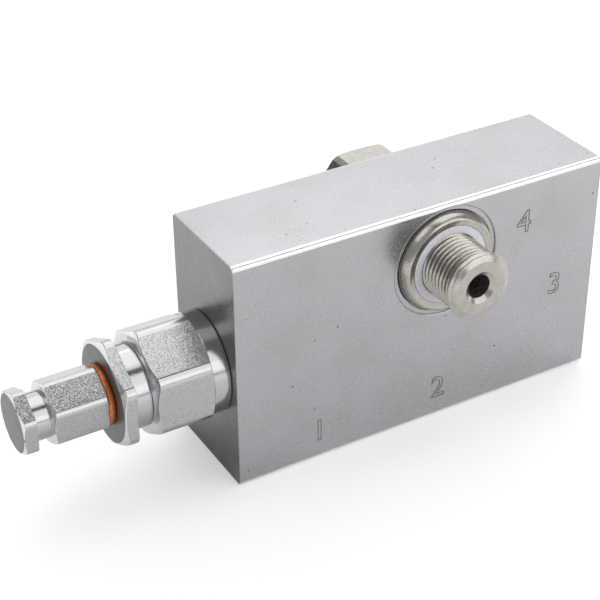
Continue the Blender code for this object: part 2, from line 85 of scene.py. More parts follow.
# %% Lay the floor
half_width = 6.0
below_block = 0.0002
bm = bmesh.new()
bmesh.ops.create_grid(bm, x_segments=1, y_segments=1, size=half_width)
bmesh.ops.translate(bm, verts=bm.verts, vec=(0, 0, -below_block))
floor_mesh = bpy.data.meshes.new("floor")
bm.to_mesh(floor_mesh)
bm.free()
floor = bpy.data.objects.new("floor", floor_mesh)
bpy.context.scene.collection.objects.link(floor)
paper = bpy.data.materials.new("white_paper")
paper.use_nodes = True
paper_shader = paper.node_tree.nodes["Principled BSDF"]
paper_shader.inputs["Base Color"].default_value = (0.72, 0.72, 0.72, 1)
paper_shader.inputs["Roughness"].default_value = 0.9
paper_shader.inputs["Specular IOR Level"].default_value = 0.0
floor.data.materials.append(paper)
print("floor", 2 * half_width, "m wide")

# %% [markdown]
# The paper would still look light grey. To the camera, and in the metal and the seals, it
# therefore shines a little by itself, which whitens it and puts no more light on the valve.
# Near the valve it shines less, so that the soft shadow stays. In the metal it shines a little
# less than to the camera, and least right under the adjuster: that dark patch is a painted
# shadow, seen only in the metal, which makes the undersides of the collars darker than their
# sides.

# %% Whiten the paper
paper_nodes = paper.node_tree.nodes
paper_links = paper.node_tree.links
ray = paper_nodes.new("ShaderNodeLightPath")
floor_place = paper_nodes.new("ShaderNodeTexCoord")


def paper_math(operation, one, other):
    """Combine two values of the paper's nodes."""
    both = paper_nodes.new("ShaderNodeMath")
    both.operation = operation
    paper_links.new(one, both.inputs[0])
    paper_links.new(other, both.inputs[1])
    return both.outputs["Value"]


def shine_from(place, start, end, low, high):
    """Smooth rise from low to high between two distances from a place on the floor."""
    away = paper_nodes.new("ShaderNodeVectorMath")
    away.operation = "DISTANCE"
    away.inputs[1].default_value = place
    paper_links.new(floor_place.outputs["Object"], away.inputs[0])
    rise = paper_nodes.new("ShaderNodeMapRange")
    rise.interpolation_type = "SMOOTHSTEP"
    rise.inputs["From Min"].default_value = start
    rise.inputs["From Max"].default_value = end
    rise.inputs["To Min"].default_value = low
    rise.inputs["To Max"].default_value = high
    paper_links.new(away.outputs["Value"], rise.inputs["Value"])
    return rise.outputs["Result"]


under_valve = (0, 0, 0)
shadow_edge, paper_edge = 0.07, 0.22
under_adjuster = (-0.06, 0.005, 0)
seen_shine = shine_from(under_valve, shadow_edge, paper_edge, 0.42, 0.7)
seen = paper_math("MULTIPLY", ray.outputs["Is Camera Ray"], seen_shine)
mirrored = paper_math("MAXIMUM", ray.outputs["Is Glossy Ray"], ray.outputs["Is Transmission Ray"])
mirrored_shine = shine_from(under_valve, shadow_edge, paper_edge, 0.36, 0.62)
mirrored = paper_math("MULTIPLY", mirrored, mirrored_shine)
# Painted shadow: right under the adjuster the paper shines less in the metal.
mirrored = paper_math("MULTIPLY", mirrored, shine_from(under_adjuster, 0.02, 0.055, 0.3, 1.0))
glow = paper_math("MAXIMUM", seen, mirrored)
paper_shader.inputs["Emission Color"].default_value = (1, 1, 1, 1)
paper_links.new(glow, paper_shader.inputs["Emission Strength"])
print("paper shines to the camera and in the metal")


# %% [markdown]
# Each soft box is a rectangular area lamp. Its power grows with its area, so the last number
# says how bright it looks, whatever its size.

# %% Set the lamps
def soft_lamp(name, place, target, width, height, brightness):
    """A rectangular soft box that faces a point and looks this bright."""
    data = bpy.data.lights.new(name, "AREA")
    data.shape = "RECTANGLE"
    data.size = width
    data.size_y = height
    data.energy = brightness * pi * width * height
    lamp = bpy.data.objects.new(name, data)
    bpy.context.scene.collection.objects.link(lamp)
    lamp.location = place
    direction = Vector(target) - Vector(place)
    lamp.rotation_mode = "QUATERNION"
    lamp.rotation_quaternion = direction.to_track_quat("-Z", "Y")
    print(name, round(data.energy, 1), "W")


middle = (0.0, 0.0, 0.03)
soft_lamp("back_box", (0.75, 1.25, 0.85), middle, 2.0, 1.0, 0.98)
soft_lamp("top_box", (0.47, 0.35, 1.25), middle, 1.24, 1.43, 1.4)
soft_lamp("front_box", (0.525, -0.95, 0.65), middle, 1.3, 1.15, 1.5)
soft_lamp("left_box", (-0.62, 0.0, 1.1), middle, 0.55, 0.75, 1.3)

# %% [markdown]
# The rest of the studio is the world: a light wall all round, with a dark gap high in front on
# the right, which gives every cylinder of the adjuster its dark stripe, and a dark corner at the
# back on the left, which shows in the left facets of the bolt's head. A direction's X, Y and Z
# each get a smooth step, and Math nodes join the steps to the two dark parts.

# %% Paint the studio walls
sky = bpy.data.worlds.new("studio")
sky.use_nodes = True
sky_nodes = sky.node_tree.nodes
sky_links = sky.node_tree.links
direction = sky_nodes.new("ShaderNodeTexCoord")
parts = sky_nodes.new("ShaderNodeSeparateXYZ")
sky_links.new(direction.outputs["Generated"], parts.inputs["Vector"])


def fade(value, start, end, low, high):
    """Smooth step from low to high while a value goes from start to end."""
    step = sky_nodes.new("ShaderNodeMapRange")
    step.interpolation_type = "SMOOTHSTEP"
    step.inputs["From Min"].default_value = start
    step.inputs["From Max"].default_value = end
    step.inputs["To Min"].default_value = low
    step.inputs["To Max"].default_value = high
    sky_links.new(value, step.inputs["Value"])
    return step.outputs["Result"]


def join(operation, one, other):
    """Combine two values of the sky with a Math node."""
    both = sky_nodes.new("ShaderNodeMath")
    both.operation = operation
    sky_links.new(one, both.inputs[0])
    sky_links.new(other, both.inputs[1])
    return both.outputs["Value"]


in_front = fade(parts.outputs["Y"], -0.22, -0.06, 1.0, 0.0)
raised = fade(parts.outputs["Z"], 0.4, 0.5, 0.0, 1.0)
behind = fade(parts.outputs["Y"], 0.2, 0.5, 0.0, 1.0)
to_the_left = fade(parts.outputs["X"], -0.65, -0.4, 1.0, 0.0)
to_the_right = fade(parts.outputs["X"], -0.3, 0.0, 0.0, 1.0)
gap = join("MULTIPLY", join("MULTIPLY", in_front, raised), to_the_right)
dark = join("MAXIMUM", gap, join("MULTIPLY", behind, to_the_left))
light_wall, dark_wall = 0.45, 0.06
wall = fade(dark, 0.0, 1.0, light_wall, dark_wall)
sky_links.new(wall, sky_nodes["Background"].inputs["Strength"])
sky_nodes["Background"].inputs["Color"].default_value = (0.98, 0.99, 1.0, 1)
bpy.context.scene.world = sky
print("walls light, with two dark parts")

# %% [markdown]
# ## Places
#
# All lengths are in millimetres, as on a drawing. Two axes carry everything: the adjuster's,
# which runs along X from the block's left face, and the hollow bolt's, which runs along Y from
# the block's front face. Both are read from the frame, so the new pieces sit where the solids are.

# %% Read the two axes
MM = 0.001
block_low, block_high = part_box("valve_body")
cap_low, cap_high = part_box("cap_nut")
ring_low, ring_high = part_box("front_ring")
block_size = (block_high - block_low) / MM
adjuster_origin = Vector((block_low.x, 0, (cap_low.z + cap_high.z) / 2))
bolt_origin = Vector(((ring_low.x + ring_high.x) / 2, block_low.y, (ring_low.z + ring_high.z) / 2))
print("block", [round(v, 2) for v in block_size], "mm")
print("bolt axis", [round(v / MM, 2) for v in bolt_origin])


def on_adjuster_axis(bm):
    """The shape's X runs right from the block's left face."""
    bmesh.ops.translate(bm, verts=bm.verts, vec=adjuster_origin)


def on_bolt_axis(bm):
    """The shape's X runs back from the block's front face."""
    bmesh.ops.rotate(bm, verts=bm.verts, cent=(0, 0, 0), matrix=Matrix.Rotation(pi / 2, 3, "Z"))
    bmesh.ops.translate(bm, verts=bm.verts, vec=bolt_origin)


def up_from_base(bm, along):
    """The shape's X runs straight up from the base, so far from the left face."""
    bmesh.ops.rotate(bm, verts=bm.verts, cent=(0, 0, 0), matrix=Matrix.Rotation(-pi / 2, 3, "Y"))
    place = Vector((block_low.x + along * MM, 0, block_low.z))
    bmesh.ops.translate(bm, verts=bm.verts, vec=place)


# %% [markdown]
# ## Turning, milling and threading
#
# Nearly all of the valve is lathe work. An outline of (along, radius) points is spun about X,
# which is what a lathe does to a bar. Flats and holes are then cut with a Boolean, as a mill
# and a drill would. A thin Bevel rounds the sharp edges, so that they catch the light, and
# weighted normals keep the flats flat beside it.

# %% Turn an outline
def turned(outline, steps=96, closed=False, first_side=0.0):
    """Spin an outline about X. An open one begins and ends on the axis."""
    bm = bmesh.new()
    points = [bm.verts.new((s * MM, r * MM, 0)) for s, r in outline]
    lines = [bm.edges.new(pair) for pair in zip(points, points[1:])]
    if closed:
        lines.append(bm.edges.new((points[-1], points[0])))
    start = Matrix.Rotation(radians(first_side), 3, "X")
    bmesh.ops.rotate(bm, verts=bm.verts, cent=(0, 0, 0), matrix=start)
    bmesh.ops.spin(
        bm, geom=points + lines, cent=(0, 0, 0), axis=(1, 0, 0), angle=2 * pi,
        steps=steps, use_merge=True,
    )
    bmesh.ops.remove_doubles(bm, verts=bm.verts, dist=0.001 * MM)
    bmesh.ops.recalc_face_normals(bm, faces=bm.faces)
    return bm


def as_object(name, bm, sharp=30):
    """Put a finished shape in the scene, smooth but for its sharp edges."""
    mesh = bpy.data.meshes.new(name)
    bm.to_mesh(mesh)
    bm.free()
    mesh.shade_smooth()
    mesh.set_sharp_from_angle(angle=radians(sharp))
    thing = bpy.data.objects.new(name, mesh)
    bpy.context.scene.collection.objects.link(thing)
    return thing


# %% Cut one shape with others
def carved(thing, cutters, sharp=30, overlap=False):
    """Take each cutter's space out of a thing, then remove the cutters."""
    for cutter in cutters:
        modifier = thing.modifiers.new("cut", "BOOLEAN")
        modifier.operation = "DIFFERENCE"
        modifier.solver = "EXACT"
        modifier.object = cutter
        modifier.use_self = overlap
    seen = thing.evaluated_get(bpy.context.evaluated_depsgraph_get())
    mesh = bpy.data.meshes.new_from_object(seen)
    mesh.name = thing.name
    thing.modifiers.clear()
    thing.data = mesh
    mesh.materials.clear()
    mesh.shade_smooth()
    mesh.set_sharp_from_angle(angle=radians(sharp))
    for cutter in cutters:
        bpy.data.objects.remove(cutter)
    print(thing.name, len(mesh.polygons), "faces after cutting")


def hexagon_cutter(place, flats, start, end, turn, corner):
    """A ring with a hexagonal hole: what it takes away leaves six flats with round corners."""
    inner = flats / 2 / cos(pi / 6)
    outer = inner + 6
    outline = [(start, inner), (start, outer), (end, outer), (end, inner)]
    bm = turned(outline, 6, True, turn)
    edges = []
    for edge in bm.edges:
        one, other = (v.co for v in edge.verts)
        lengthwise = abs(one.x - other.x) > (end - start) / 2 * MM
        if lengthwise and hypot(one.y, one.z) < (inner + outer) / 2 * MM:
            edges.append(edge)
    bmesh.ops.bevel(
        bm, geom=edges, offset=corner * tan(pi / 6) * MM, affect="EDGES", segments=8,
        profile=0.5, material=-1,
    )
    place(bm)
    return as_object("flats", bm)


def softened(thing, width, segments=2):
    """Round the sharp edges a little and keep the flats flat."""
    bevel = thing.modifiers.new("softened edges", "BEVEL")
    bevel.width = width * MM
    bevel.segments = segments
    bevel.limit_method = "ANGLE"
    bevel.angle_limit = radians(30)
    bevel.use_clamp_overlap = True
    normals = thing.modifiers.new("weighted normals", "WEIGHTED_NORMAL")
    normals.keep_sharp = True


# %% [markdown]
# A thread is a zigzag outline that moves along by one pitch while it is spun once, so each
# tooth meets the next. Two limits may shape its ends: a ceiling cuts it down to a chamfer, and
# a floor lets it run out into the plain bar. The open ends are then carried on by extruding.

# %% Cut a thread
TOOTH = [(0.0, 0.0), (0.1, 0.07), (0.4, 0.93), (0.5, 1.0), (0.6, 0.93), (0.9, 0.07)]


def threaded(start, end, crest, root, pitch, floor, ceiling, steps=72):
    """Open tube with a right-handed thread between two places along X."""
    bm = bmesh.new()
    depth = crest - root
    outline = []
    tooth_start = start - 1.5 * pitch
    while tooth_start < end + 0.6 * pitch:
        outline += [(tooth_start + a * pitch, root + h * depth) for a, h in TOOTH]
        tooth_start += pitch
    points = [bm.verts.new((s * MM, r * MM, 0)) for s, r in outline]
    lines = [bm.edges.new(pair) for pair in zip(points, points[1:])]
    bmesh.ops.spin(
        bm, geom=points + lines, cent=(0, 0, 0), axis=(1, 0, 0), angle=2 * pi, steps=steps,
        dvec=(pitch * MM / steps, 0, 0), use_merge=False,
    )
    bmesh.ops.remove_doubles(bm, verts=bm.verts, dist=0.001 * MM)
    for place, side in ((start, -1), (end, 1)):
        bmesh.ops.bisect_plane(
            bm, geom=bm.verts[:] + bm.edges[:] + bm.faces[:], dist=0.0001 * MM,
            plane_co=(place * MM, 0, 0), plane_no=(side, 0, 0), clear_outer=True,
        )
    for point in bm.verts:
        along = point.co.x / MM
        radius = hypot(point.co.y, point.co.z) / MM
        wanted = min(max(radius, floor(along)), ceiling(along))
        point.co.y *= wanted / radius
        point.co.z *= wanted / radius
    return bm


def carry_on(bm, place, outline):
    """Extrude the open end at a place along X through more (along, radius) points."""
    edges = [e for e in bm.edges if e.is_boundary]
    edges = [e for e in edges if all(abs(v.co.x - place * MM) < 0.01 * MM for v in e.verts)]
    for along, radius in outline:
        made = bmesh.ops.extrude_edge_only(bm, edges=edges)["geom"]
        points = [part for part in made if isinstance(part, bmesh.types.BMVert)]
        edges = [part for part in made if isinstance(part, bmesh.types.BMEdge)]
        for point in points:
            out = Vector((0, point.co.y, point.co.z)).normalized()
            point.co = out * radius * MM + Vector((along * MM, 0, 0))
        if radius == 0:
            bmesh.ops.pointmerge(bm, verts=points, merge_co=(along * MM, 0, 0))


# %% [markdown]
# ## Finishes
#
# Every finish starts from the Principled shader and from Object coordinates, which a Mapping
# node turns into millimetres, so that a grain of 0.2 mm can be asked for as such. Noise is
# added for what a real surface has: cloudy plating, turning lines, drawn grain, specks and oil.

# %% Start a finish
class Finish:
    """A Principled material with a few helpers that add a pattern to one of its inputs."""

    def __init__(self, name, colour, roughness, metallic=1.0):
        self.material = bpy.data.materials.new(name)
        self.material.use_nodes = True
        self.nodes = self.material.node_tree.nodes
        self.links = self.material.node_tree.links
        self.shader = self.nodes["Principled BSDF"]
        self.shader.inputs["Base Color"].default_value = (*colour, 1)
        self.shader.inputs["Roughness"].default_value = roughness
        self.shader.inputs["Metallic"].default_value = metallic
        places = self.nodes.new("ShaderNodeTexCoord")
        self.scale = self.nodes.new("ShaderNodeMapping")
        self.scale.inputs["Scale"].default_value = (1000, 1000, 1000)
        self.links.new(places.outputs["Object"], self.scale.inputs["Vector"])
        print("finish", name)

    def millimetres(self, squeeze=(1, 1, 1)):
        """Coordinates in millimetres, squeezed along an axis to draw a pattern out."""
        stretch = self.nodes.new("ShaderNodeMapping")
        stretch.inputs["Scale"].default_value = squeeze
        self.links.new(self.scale.outputs["Vector"], stretch.inputs["Vector"])
        return stretch.outputs["Vector"]

    def noise(self, grain, detail=3.0, squeeze=(1, 1, 1), roughness=0.5):
        """Cloudy noise whose lumps are about one grain wide."""
        cloud = self.nodes.new("ShaderNodeTexNoise")
        cloud.inputs["Scale"].default_value = 1.0 / grain
        cloud.inputs["Detail"].default_value = detail
        cloud.inputs["Roughness"].default_value = roughness
        self.links.new(self.millimetres(squeeze), cloud.inputs["Vector"])
        return cloud.outputs["Fac"]

    def ramp(self, value, low, high, out_low=0.0, out_high=1.0):
        """Spread a range of values over another."""
        spread = self.nodes.new("ShaderNodeMapRange")
        spread.inputs["From Min"].default_value = low
        spread.inputs["From Max"].default_value = high
        spread.inputs["To Min"].default_value = out_low
        spread.inputs["To Max"].default_value = out_high
        self.links.new(value, spread.inputs["Value"])
        return spread.outputs["Result"]

    def times(self, one, other):
        """Product of two values."""
        product = self.nodes.new("ShaderNodeMath")
        product.operation = "MULTIPLY"
        self.links.new(one, product.inputs[0])
        self.links.new(other, product.inputs[1])
        return product.outputs["Value"]

    def sparkle(self, grain, tilt):
        """Tilt the surface another way in each grain, so that some flash and some stay dark."""
        cells = self.nodes.new("ShaderNodeTexVoronoi")
        cells.inputs["Scale"].default_value = 1.0 / grain
        self.links.new(self.millimetres(), cells.inputs["Vector"])
        centred = self.nodes.new("ShaderNodeVectorMath")
        centred.operation = "SUBTRACT"
        centred.inputs[1].default_value = (0.5, 0.5, 0.5)
        self.links.new(cells.outputs["Color"], centred.inputs[0])
        lean = self.nodes.new("ShaderNodeVectorMath")
        lean.operation = "SCALE"
        lean.inputs["Scale"].default_value = tilt
        self.links.new(centred.outputs["Vector"], lean.inputs[0])
        upright = self.nodes.new("ShaderNodeNewGeometry")
        total = self.nodes.new("ShaderNodeVectorMath")
        total.operation = "ADD"
        self.links.new(upright.outputs["Normal"], total.inputs[0])
        self.links.new(lean.outputs["Vector"], total.inputs[1])
        unit = self.nodes.new("ShaderNodeVectorMath")
        unit.operation = "NORMALIZE"
        self.links.new(total.outputs["Vector"], unit.inputs[0])
        self.links.new(unit.outputs["Vector"], self.shader.inputs["Normal"])

    def tint(self, value, colour):
        """Lay a colour over what the shader has so far, where the value is high."""
        mix = self.nodes.new("ShaderNodeMix")
        mix.data_type = "RGBA"
        base = self.shader.inputs["Base Color"]
        if base.is_linked:
            self.links.new(base.links[0].from_socket, mix.inputs["A"])
        else:
            mix.inputs["A"].default_value = base.default_value
        mix.inputs["B"].default_value = (*colour, 1)
        self.links.new(value, mix.inputs["Factor"])
        self.links.new(mix.outputs["Result"], base)

    def rough(self, value):
        """Let a value set the roughness."""
        self.links.new(value, self.shader.inputs["Roughness"])

    def relief(self, value, height, strength=1.0):
        """Bump the surface by a height in millimetres, on top of what is there."""
        bump = self.nodes.new("ShaderNodeBump")
        bump.inputs["Distance"].default_value = height * MM
        bump.inputs["Strength"].default_value = strength
        normal = self.shader.inputs["Normal"]
        if normal.is_linked:
            self.links.new(normal.links[0].from_socket, bump.inputs["Normal"])
        self.links.new(value, bump.inputs["Height"])
        self.links.new(bump.outputs["Normal"], normal)

    def specks(self, spacing, size, share):
        """Value that is 1 in small round spots, in a share of the cells of a loose grid."""
        cells = self.nodes.new("ShaderNodeTexVoronoi")
        cells.inputs["Scale"].default_value = 1.0 / spacing
        self.links.new(self.millimetres(), cells.inputs["Vector"])
        spot = self.ramp(cells.outputs["Distance"], size / spacing, 0.6 * size / spacing)
        pick = self.nodes.new("ShaderNodeSeparateColor")
        self.links.new(cells.outputs["Color"], pick.inputs["Color"])
        chosen = self.ramp(pick.outputs["Red"], 1 - share, 1.001 - share)
        return self.times(spot, chosen)


# %% [markdown]
# The block is cut from drawn bar and zinc plated. Its plating is a little cloudy, it has a
# very fine grain, and here and there a dark speck where the bar was pitted. Its sawn ends have
# upright marks, and their darker colour is painted shade. The stamped grooves are rougher and
# painted dark, which is painted shade, and the rolled long edges are smoother than the faces and
# painted brighter, a painted highlight that makes them shine as white lines.

# %% Zinc on the block
block_zinc = Finish("block_zinc", (0.433, 0.43, 0.447), 0.26, 0.88)
grain = block_zinc.ramp(block_zinc.noise(0.35, 3.0, roughness=0.7), 0.35, 0.65)
block_zinc.tint(grain, (0.417, 0.414, 0.43))
block_zinc.tint(block_zinc.ramp(block_zinc.noise(14.0, 3.0), 0.4, 0.75), (0.39, 0.386, 0.396))
clusters = block_zinc.ramp(block_zinc.noise(11.0, 2.0), 0.5, 0.6)
block_zinc.tint(block_zinc.times(block_zinc.specks(1.1, 0.17, 0.5), clusters), (0.2, 0.2, 0.205))
block_zinc.tint(block_zinc.times(block_zinc.specks(1.3, 0.2, 0.4), clusters), (0.62, 0.62, 0.62))
block_zinc.tint(block_zinc.specks(3.0, 0.32, 0.14), (0.12, 0.12, 0.125))
block_zinc.tint(block_zinc.specks(1.3, 0.15, 0.14), (0.2, 0.2, 0.21))
block_zinc.rough(block_zinc.ramp(block_zinc.noise(0.8, 4.0), 0.3, 0.75, 0.22, 0.32))
block_zinc.relief(block_zinc.noise(0.4, 3.0), 0.005, 0.4)

# %% Zinc on the sawn ends, in the stamps and on the rolled edges
# Painted shade: the sawn ends are painted darker than the faces; the upright saw marks are real.
sawn_zinc_painted_shade = Finish("sawn_zinc_painted_shade", (0.25, 0.249, 0.255), 0.26, 0.88)
saw_marks = sawn_zinc_painted_shade.ramp(sawn_zinc_painted_shade.noise(0.4, 3.0, (1, 1, 0.08)), 0.35, 0.65)
sawn_zinc_painted_shade.tint(saw_marks, (0.215, 0.214, 0.219))
sawn_zinc_painted_shade.tint(sawn_zinc_painted_shade.ramp(sawn_zinc_painted_shade.noise(9.0, 3.0), 0.4, 0.75), (0.205, 0.204, 0.209))
sawn_zinc_painted_shade.rough(sawn_zinc_painted_shade.ramp(sawn_zinc_painted_shade.noise(0.5, 3.0, (1, 1, 0.1)), 0.3, 0.7, 0.2, 0.32))
sawn_zinc_painted_shade.relief(sawn_zinc_painted_shade.noise(0.3, 3.0, (1, 1, 0.06)), 0.006, 0.5)

# Painted shade: the stamped grooves are painted dark.
groove_zinc_painted_shade = Finish("groove_zinc_painted_shade", (0.2, 0.2, 0.205), 0.4)
groove_zinc_painted_shade.tint(groove_zinc_painted_shade.ramp(groove_zinc_painted_shade.noise(0.3, 3.0), 0.35, 0.65), (0.14, 0.14, 0.145))

# Painted highlight: the rolled edges and the chamfers are painted brighter than the faces.
rolled_zinc_painted_highlight = Finish("rolled_zinc_painted_highlight", (0.74, 0.74, 0.745), 0.1, 0.87)
rolled_zinc_painted_highlight.tint(rolled_zinc_painted_highlight.ramp(rolled_zinc_painted_highlight.noise(4.0, 3.0), 0.4, 0.7), (0.67, 0.67, 0.675))
rolled_zinc_painted_highlight.rough(rolled_zinc_painted_highlight.ramp(rolled_zinc_painted_highlight.noise(0.8, 3.0), 0.3, 0.7, 0.08, 0.14))

# %% [markdown]
# The housing, the nut and the cap are turned from hexagon bar. Their flats keep the bar's
# rough drawn skin, which glitters because each grain leans another way, and the turned faces
# have fine lines round the axis. The ends that face left are matt, and their dark colour is
# painted shade. The chamfers are painted brighter, which is a painted highlight.

# %% Zinc on drawn flats and on turned faces
flat_zinc = Finish("flat_zinc", (0.52, 0.52, 0.515), 0.2, 0.9)
skin = flat_zinc.ramp(flat_zinc.noise(0.3, 3.0, roughness=0.7), 0.42, 0.58)
flat_zinc.tint(skin, (0.4, 0.4, 0.405))
flat_zinc.rough(flat_zinc.ramp(flat_zinc.noise(0.5, 3.0), 0.3, 0.7, 0.16, 0.26))
flat_zinc.sparkle(0.15, 0.13)

turned_zinc = Finish("turned_zinc", (0.48, 0.485, 0.495), 0.18, 0.89)
lines = turned_zinc.noise(0.2, 2.0, (1, 0.04, 0.04))
turned_zinc.rough(turned_zinc.ramp(lines, 0.3, 0.7, 0.12, 0.22))
turned_zinc.relief(turned_zinc.noise(0.12, 2.0, (1, 0.05, 0.05)), 0.01, 0.5)

# Painted shade: the ends that face left are painted dark.
faced_zinc_painted_shade = Finish("faced_zinc_painted_shade", (0.205, 0.205, 0.21), 0.42, 0.9)
faced_zinc_painted_shade.tint(faced_zinc_painted_shade.ramp(faced_zinc_painted_shade.noise(2.5, 4.0), 0.35, 0.7), (0.18, 0.18, 0.185))
faced_zinc_painted_shade.rough(faced_zinc_painted_shade.ramp(faced_zinc_painted_shade.noise(0.6, 3.0), 0.3, 0.7, 0.36, 0.48))
faced_zinc_painted_shade.relief(faced_zinc_painted_shade.noise(0.25, 3.0), 0.01, 0.4)

# %% Nickel on the bolt and its ring
nickel = Finish("nickel", (0.45, 0.434, 0.394), 0.2, 0.87)
nickel.tint(nickel.ramp(nickel.noise(2.0, 4.0), 0.35, 0.75), (0.38, 0.366, 0.33))
nickel.rough(nickel.ramp(nickel.noise(0.8, 4.0), 0.3, 0.7, 0.15, 0.3))
nickel.relief(nickel.noise(0.4, 3.0), 0.004, 0.4)

# %% Copper, seals, springs and ground steel
copper = Finish("copper", (0.72, 0.235, 0.085), 0.45, 0.7)
copper.tint(copper.ramp(copper.noise(1.0, 4.0), 0.4, 0.7), (0.5, 0.14, 0.055))
copper.rough(copper.ramp(copper.noise(0.5, 3.0), 0.3, 0.7, 0.35, 0.55))
copper.relief(copper.noise(0.3, 3.0), 0.02, 0.7)

white_plastic = Finish("white_plastic", (0.93, 0.93, 0.99), 0.45, 0.0)
clouds = white_plastic.ramp(white_plastic.noise(1.5, 3.0), 0.4, 0.7)
white_plastic.tint(clouds, (0.87, 0.87, 0.93))
white_plastic.relief(white_plastic.noise(0.6, 3.0), 0.02, 0.4)

black_rubber = Finish("black_rubber", (0.018, 0.018, 0.02), 0.5, 0.0)
bloom = black_rubber.ramp(black_rubber.noise(0.8, 4.0), 0.45, 0.7)
black_rubber.tint(bloom, (0.035, 0.035, 0.037))
black_rubber.relief(black_rubber.noise(0.15, 3.0), 0.01, 0.5)

spring_wire = Finish("spring_wire", (0.20, 0.20, 0.21), 0.35)
spring_wire.tint(spring_wire.ramp(spring_wire.noise(0.7, 4.0), 0.4, 0.7), (0.11, 0.11, 0.12))
spring_wire.relief(spring_wire.noise(0.12, 3.0), 0.01, 0.4)

ground_steel = Finish("ground_steel", (0.50, 0.49, 0.47), 0.22)
ground_steel.tint(ground_steel.ramp(ground_steel.noise(1.8, 4.0), 0.4, 0.75), (0.38, 0.37, 0.35))
marks = ground_steel.noise(0.2, 2.0, (1, 0.05, 0.05))
ground_steel.rough(ground_steel.ramp(marks, 0.3, 0.7, 0.18, 0.32))
ground_steel.relief(ground_steel.noise(0.1, 2.0, (1, 0.05, 0.05)), 0.008, 0.4)


def dress(thing, body, node, slot, *finishes):
    """Give a new piece its finishes and its body, and hide the solid that it stands for."""
    thing.data.materials.clear()
    for finish in finishes:
        thing.data.materials.append(finish.material)
    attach(thing, body)
    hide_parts(node)
    print(thing.name, "rides on", body)


# %% [markdown]
# ## Block
#
# The block is a length of drawn bar, so its four long edges are round and its sawn ends are
# nearly sharp. The main bore comes in from the left, the bolt's hole goes through with a
# shallow two-step spot face on the front, and three threaded ports come in from the right and
# from below. Each cutter is the shape of the drill or the tap.

# %% Saw the block
bm = bmesh.new()
bmesh.ops.create_cube(bm, size=1.0)
bmesh.ops.scale(bm, verts=bm.verts, vec=block_high - block_low)
bmesh.ops.translate(bm, verts=bm.verts, vec=(block_low + block_high) / 2)
rolled_radius = 1.1
rolled = [e for e in bm.edges if abs(e.verts[0].co.x - e.verts[1].co.x) > MM]
bmesh.ops.bevel(
    bm, geom=rolled, offset=rolled_radius * MM, affect="EDGES", segments=6, profile=0.5,
    material=-1,
)
sawn = [e for e in bm.edges if abs(e.verts[0].co.x - e.verts[1].co.x) < 0.01 * MM]
bmesh.ops.bevel(
    bm, geom=sawn, offset=0.22 * MM, affect="EDGES", segments=2, profile=0.5, material=-1,
)
block = as_object("block_machined", bm)

# %% Bore it along the adjuster's axis
bm = turned([
    (-0.3, 0), (-0.3, 11.4), (2.1, 11.4), (2.1, 10.3), (12.5, 10.3), (12.5, 8.8), (33.5, 8.8),
    (33.5, 7.4), (62.0, 7.4), (62.0, 4.5), (80.0, 4.5), (81.2, 2.5), (94.0, 2.5), (94.0, 0),
], 64)
on_adjuster_axis(bm)
main_bore = as_object("main_bore", bm)

spot_mouth, spot_rim, spot_step, bolt_clearance = 14.35, 14.15, 13.15, 8.63
bm = turned([
    (-0.3, 0), (-0.3, spot_mouth), (0.0, spot_mouth), (0.15, spot_rim),
    (0.45, spot_rim), (0.45, spot_step), (1.0, spot_step), (1.0, bolt_clearance),
    (block_size.y + 0.3, bolt_clearance), (block_size.y + 0.3, 0),
], 128)
on_bolt_axis(bm)
bolt_hole = as_object("bolt_hole", bm)


# %% Tap the ports
def tapped_port(drill, major, depth, passage, far):
    """Cutter for a port: mouth chamfer, thread that runs out, drill point and passage."""
    pitch = 1.337
    mouth = drill + 1.0
    run_out_before_end, run_out_length = 2.6, 1.4
    mouth_cap = -0.4
    thread_end = depth - 1.0

    def chamfer(along):
        return max(drill, mouth - along)

    def tap(along):
        run_out = major - (major - drill) * (along - depth + run_out_before_end) / run_out_length
        return max(chamfer(along), min(major, run_out)) if along > 0.1 else mouth - along

    bm = threaded(mouth_cap, thread_end, major, drill, pitch, chamfer, tap, 64)
    carry_on(bm, mouth_cap, [(mouth_cap, 0)])
    drill_point = (drill - passage) * 0.6
    carry_on(bm, thread_end, [
        (depth, drill), (depth + drill_point, passage), (far, passage), (far, 0),
    ])
    bmesh.ops.recalc_face_normals(bm, faces=bm.faces)
    return bm


bm = tapped_port(drill=7.6, major=8.33, depth=13.0, passage=4.5, far=27.2)
up_from_base(bm, 21.5)
valve_port = as_object("valve_port", bm)
bm = tapped_port(drill=5.9, major=6.58, depth=12.0, passage=2.5, far=39.7)
up_from_base(bm, bolt_origin.x / MM - block_low.x / MM)
gauge_port = as_object("gauge_port", bm)
bm = tapped_port(drill=5.9, major=6.58, depth=12.0, passage=2.5, far=17.9)
bmesh.ops.rotate(bm, verts=bm.verts, cent=(0, 0, 0), matrix=Matrix.Rotation(pi, 3, "Z"))
bmesh.ops.translate(bm, verts=bm.verts, vec=(block_high.x, 0, adjuster_origin.z))
pilot_port = as_object("pilot_port", bm)

# %% [markdown]
# Beside each port a plain number is stamped. A stamp leaves the outline of the figure as a
# fine groove, so each figure is a text curve with no fill and a thin round bevel, which cuts
# half its thickness into the face.

